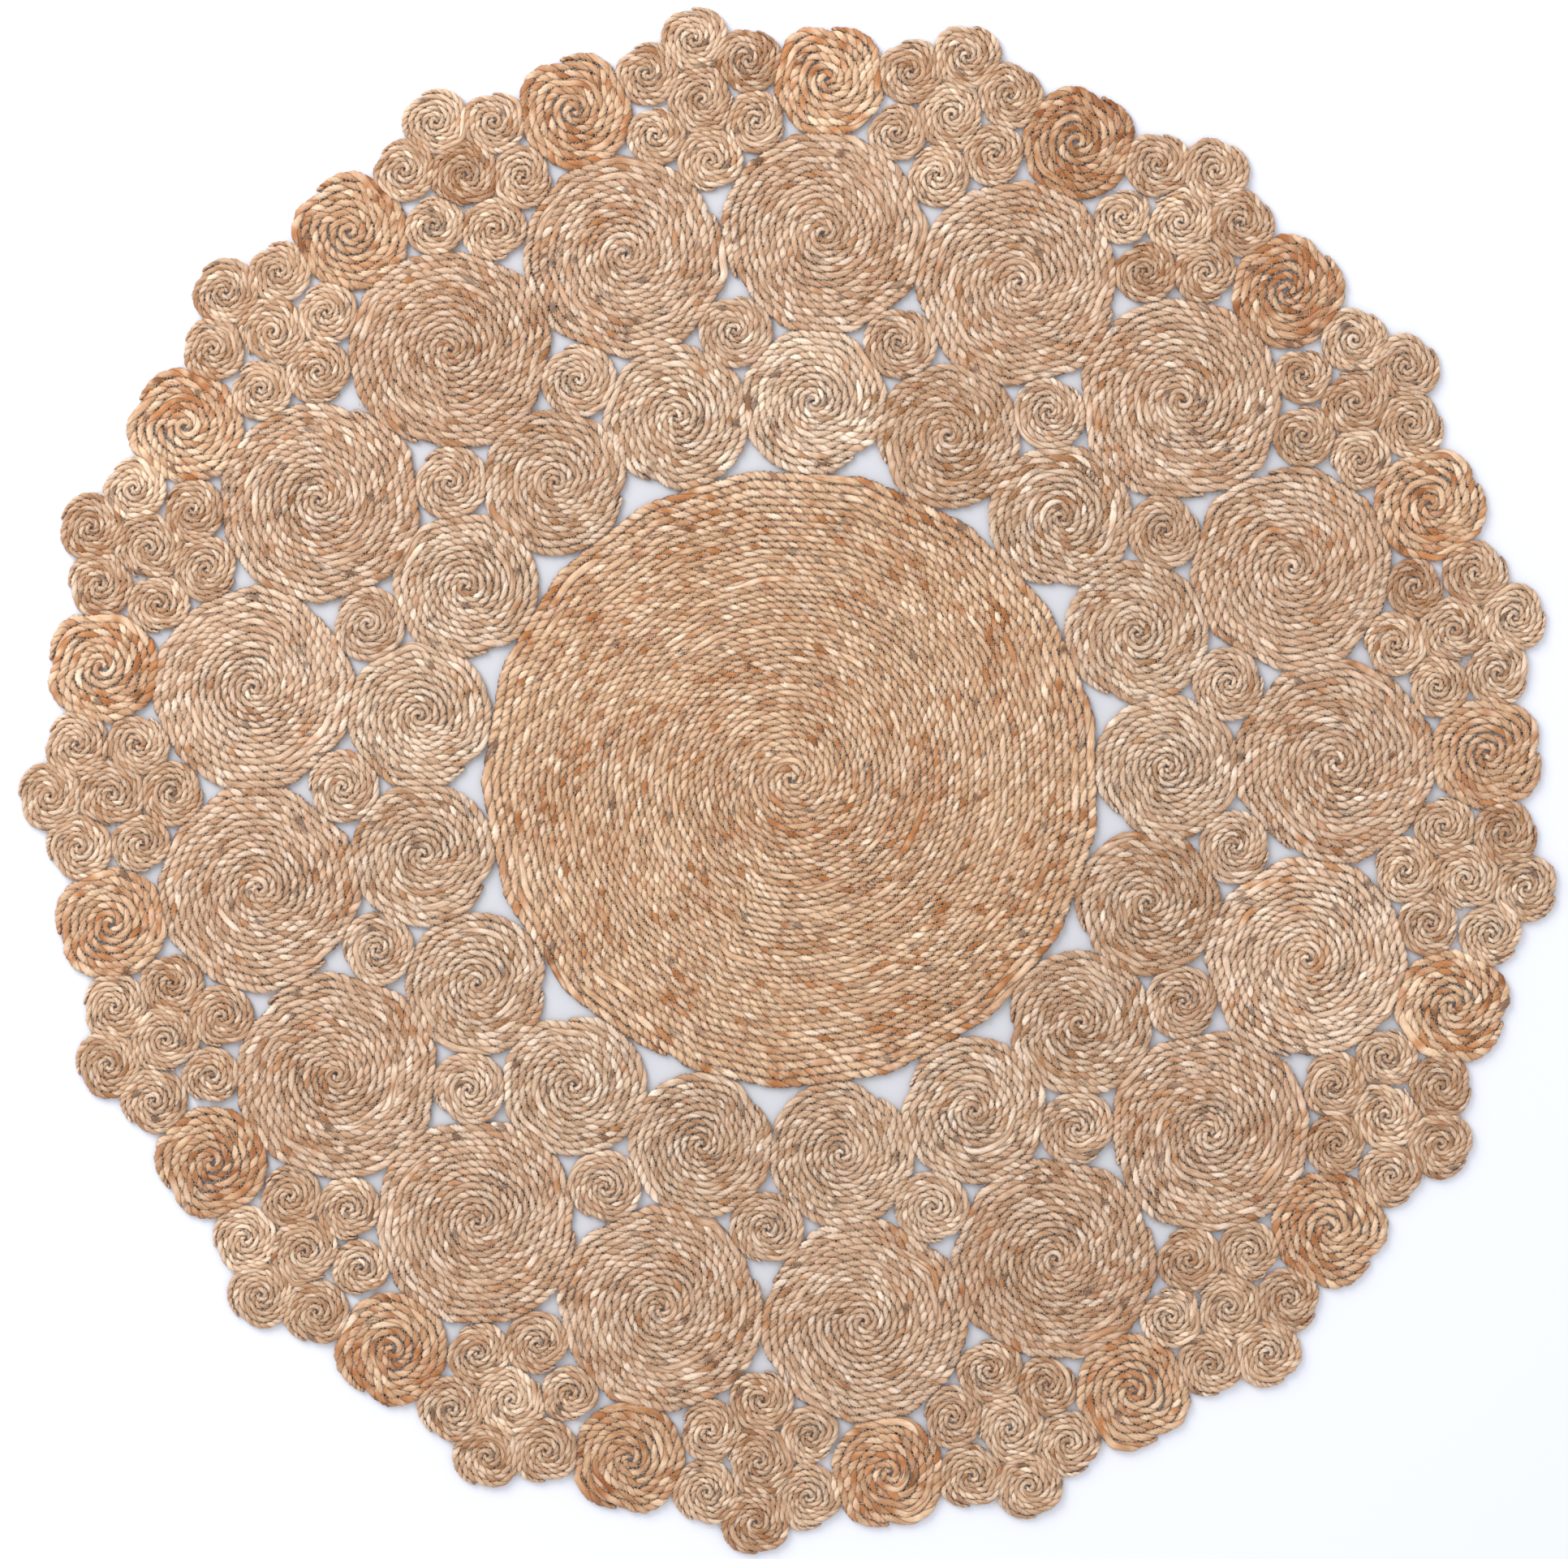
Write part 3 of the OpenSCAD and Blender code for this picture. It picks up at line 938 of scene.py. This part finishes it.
def thread_material():
    """Beige cotton thread with slightly paler and darker lengths."""
    net = Net("seam_thread")
    along = net.part(net.node("ShaderNodeUVMap", {"uv_map": "Rope"}), 0)
    lengths = net.noise(net.place(along * THREAD_PATTERNS_PER_METRE, 0.0, 0.0), 2.0)
    colour = net.mix(lengths, paint("#BE9A74"), paint("#E4CDAF"))
    rough = THREAD_ROUGH + lengths * THREAD_ROUGH_VARIES
    return net.cloth(colour, rough, lengths, THREAD_SHEEN, THREAD_SPECULAR)


thread = thread_material()
print("thread:", thread.name)

# %% [markdown]
# ## Winding and sewing
# Every coil now gets its rope and its sewing. Each has random numbers of its own, which start from
# its place in the list, so a change to one coil leaves all the others as they are.

# %% Wind every coil
COIL_SEED = 1000
SEAM_SEED = 5000

ropes, stitches, rope_laid = [], [], 0.0
for coil in coils:
    own = np.random.default_rng(COIL_SEED + coil["index"])
    line = wind(coil, own)
    ropes.append(lay_rope(coil, line, own))
    stitches.append(sew_turns(coil, line, own))
    rope_laid += line["along"][-1]
seams = [sew_coils(one, np.random.default_rng(SEAM_SEED + i)) for i, one in enumerate(contacts)]
print("rope laid:", round(rope_laid, 1), "m")

# %% [markdown]
# ## The pieces
# Every coil's rope and every zigzag is gathered into pieces of fewer than two hundred thousand
# triangles. A piece replaces the CAD discs that it stands for.

# %% Share the coils out over pieces
def members(*kinds):
    """The numbers of all coils of some kinds."""
    return [coil["index"] for coil in coils if coil["kind"] in kinds]


def in_parts(name, indices, count):
    """Shares numbers out over count pieces, as pairs of a piece's name and its numbers."""
    parts = [part.tolist() for part in np.array_split(np.array(indices), count)]
    labels = [name] if count == 1 else [f"{name}_{number + 1}" for number in range(count)]
    return list(zip(labels, parts))


def place(piece, slot, replaced):
    """Makes a piece ride on the rug and hides the CAD nodes that it stands for. slot is not used."""
    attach(piece, "root")
    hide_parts(*sorted(set(replaced)))


def cut(one, first, last):
    """The part of a tube between two of its rings, closed at the middle of its end rings."""
    sides = one["sides"]
    mine = slice(first * sides, (last + 1) * sides)
    points = one["points"][mine].reshape(-1, sides, 3)
    part = close_tube(points, points[[0, -1]].mean(axis=1), one["along"][first:last + 1])
    part["twist"] = one["twist"][first:last + 1]
    part["sheltered"] = one["sheltered"][mine]
    return part


# %% The rope pieces
whole = ropes[members("medallion")[0]]
halfway, last = whole["rings"] // 2, whole["rings"] - 1
for name, part in (("medallion_inner_turns", cut(whole, 0, halfway)),
                   ("medallion_outer_turns", cut(whole, halfway, last))):
    place(make_piece(name, [part], [0], jutes["medallion"]), "medallion_jute", ["medallion"])

GROUPS = (
    ("mid_coils", "mid", 1, "mid_coil_jute"),
    ("large_coils", "large", 3, "large_coil_jute"),
    ("rosettes", "rosette", 2, "rosette_jute"),
    ("filler_coils_rope", "filler", 1, "filler_jute"),
    ("rim_coils_rope", "rim", 1, "rim_jute"),
)
for name, kind, count, slot in GROUPS:
    for label, part in in_parts(name, members(kind), count):
        piece = make_piece(label, [ropes[i] for i in part], part, jutes[kind])
        place(piece, slot, [coils[i]["node"] for i in part])

# %% The sewing pieces
SEWING = (
    ("medallion_stitching", ("medallion",), 1),
    ("mid_stitching", ("mid",), 1),
    ("large_stitching", ("large",), 2),
    ("rosette_stitching", ("rosette",), 1),
    ("small_stitching", ("filler", "rim"), 1),
)
for name, kinds, count in SEWING:
    for label, part in in_parts(name, members(*kinds), count):
        piece = make_piece(label, [stitches[i] for i in part], part, thread, is_rope=False)
        place(piece, "seam_thread", [coils[i]["node"] for i in part])

seam_nodes = [node for node in nodes if node.endswith("_seams")]
seam_piece = make_piece("coil_seams", seams, list(range(len(seams))), thread, is_rope=False)
place(seam_piece, "seam_thread", seam_nodes)

# %% [markdown]
# ## Floor and light
# The rug lies on a wide pale floor. A round grey disc under its middle is painted shade: it makes
# the floor seen in the holes between the coils darker, as the rug's shadow would. Soft light comes
# from all round, with one wide lamp a little to one side, so that the rope has a lit flank and a
# shaded one.

# %% Floor and the painted shade under the rug
FLOOR_REACH, FLOOR_HEIGHT = 30.0, -0.4 * MM
SHADE_DISC_RADIUS, SHADE_DISC_CORNERS = 0.66, 96
GROUND_SPECULAR = 0.2


def lay_ground(name, finish, corners, height, colour, rough):
    """One flat face from its corners, in a plain colour."""
    net = Net(finish)
    shader = net.node("ShaderNodeBsdfPrincipled", {}, {
        "Base Color": paint(colour), "Roughness": rough, "Specular IOR Level": GROUND_SPECULAR})
    net.node("ShaderNodeOutputMaterial", {}, {0: shader})
    mesh = bpy.data.meshes.new(name)
    mesh.from_pydata([(x, y, height) for x, y in corners], [], [list(range(len(corners)))])
    mesh.materials.append(net.material)
    ground = bpy.data.objects.new(name, mesh)
    bpy.context.scene.collection.objects.link(ground)
    print(f"{name}: {len(corners)} corners")


square = [(x * FLOOR_REACH, y * FLOOR_REACH) for x, y in ((-1, -1), (1, -1), (1, 1), (-1, 1))]
lay_ground("floor", "pale_floor", square, FLOOR_HEIGHT, "#DCDDE4", 0.6)
shade_disc_angle = np.linspace(0, FULL_TURN, SHADE_DISC_CORNERS + 1)[:-1]
circle = SHADE_DISC_RADIUS * np.column_stack([np.cos(shade_disc_angle), np.sin(shade_disc_angle)])
# Painted shade: a grey disc on the floor under the rug, seen in the holes between the coils.
lay_ground("painted_shade_disc", "painted_shade_grey", circle.tolist(), 0.0, "#C2C2C7", 0.7)

# %% Light
LAMP_PLACE = (-2.2, 2.4, 2.6)
LAMP_SIZE = 2.4
LAMP_POWER = 115
ROOM_COLOUR = (0.95, 0.97, 1.0, 1.0)
ROOM_STRENGTH = 1.15


def lamp(name, place, size, power):
    """A square soft lamp that points at the middle of the rug."""
    data = bpy.data.lights.new(name, "AREA")
    data.size = size
    data.energy = power
    light = bpy.data.objects.new(name, data)
    light.location = place
    x, y, z = place
    light.rotation_euler = (np.arctan2(np.hypot(x, y), z), 0, np.arctan2(x, -y))
    bpy.context.scene.collection.objects.link(light)


lamp("window_light", LAMP_PLACE, LAMP_SIZE, LAMP_POWER)
world = bpy.data.worlds.new("soft_room")
world.use_nodes = True
background = world.node_tree.nodes["Background"]
background.inputs["Color"].default_value = ROOM_COLOUR
background.inputs["Strength"].default_value = ROOM_STRENGTH
bpy.context.scene.world = world
bpy.context.scene.view_settings.view_transform = "Standard"
print("lamp power:", LAMP_POWER, "room strength:", ROOM_STRENGTH)
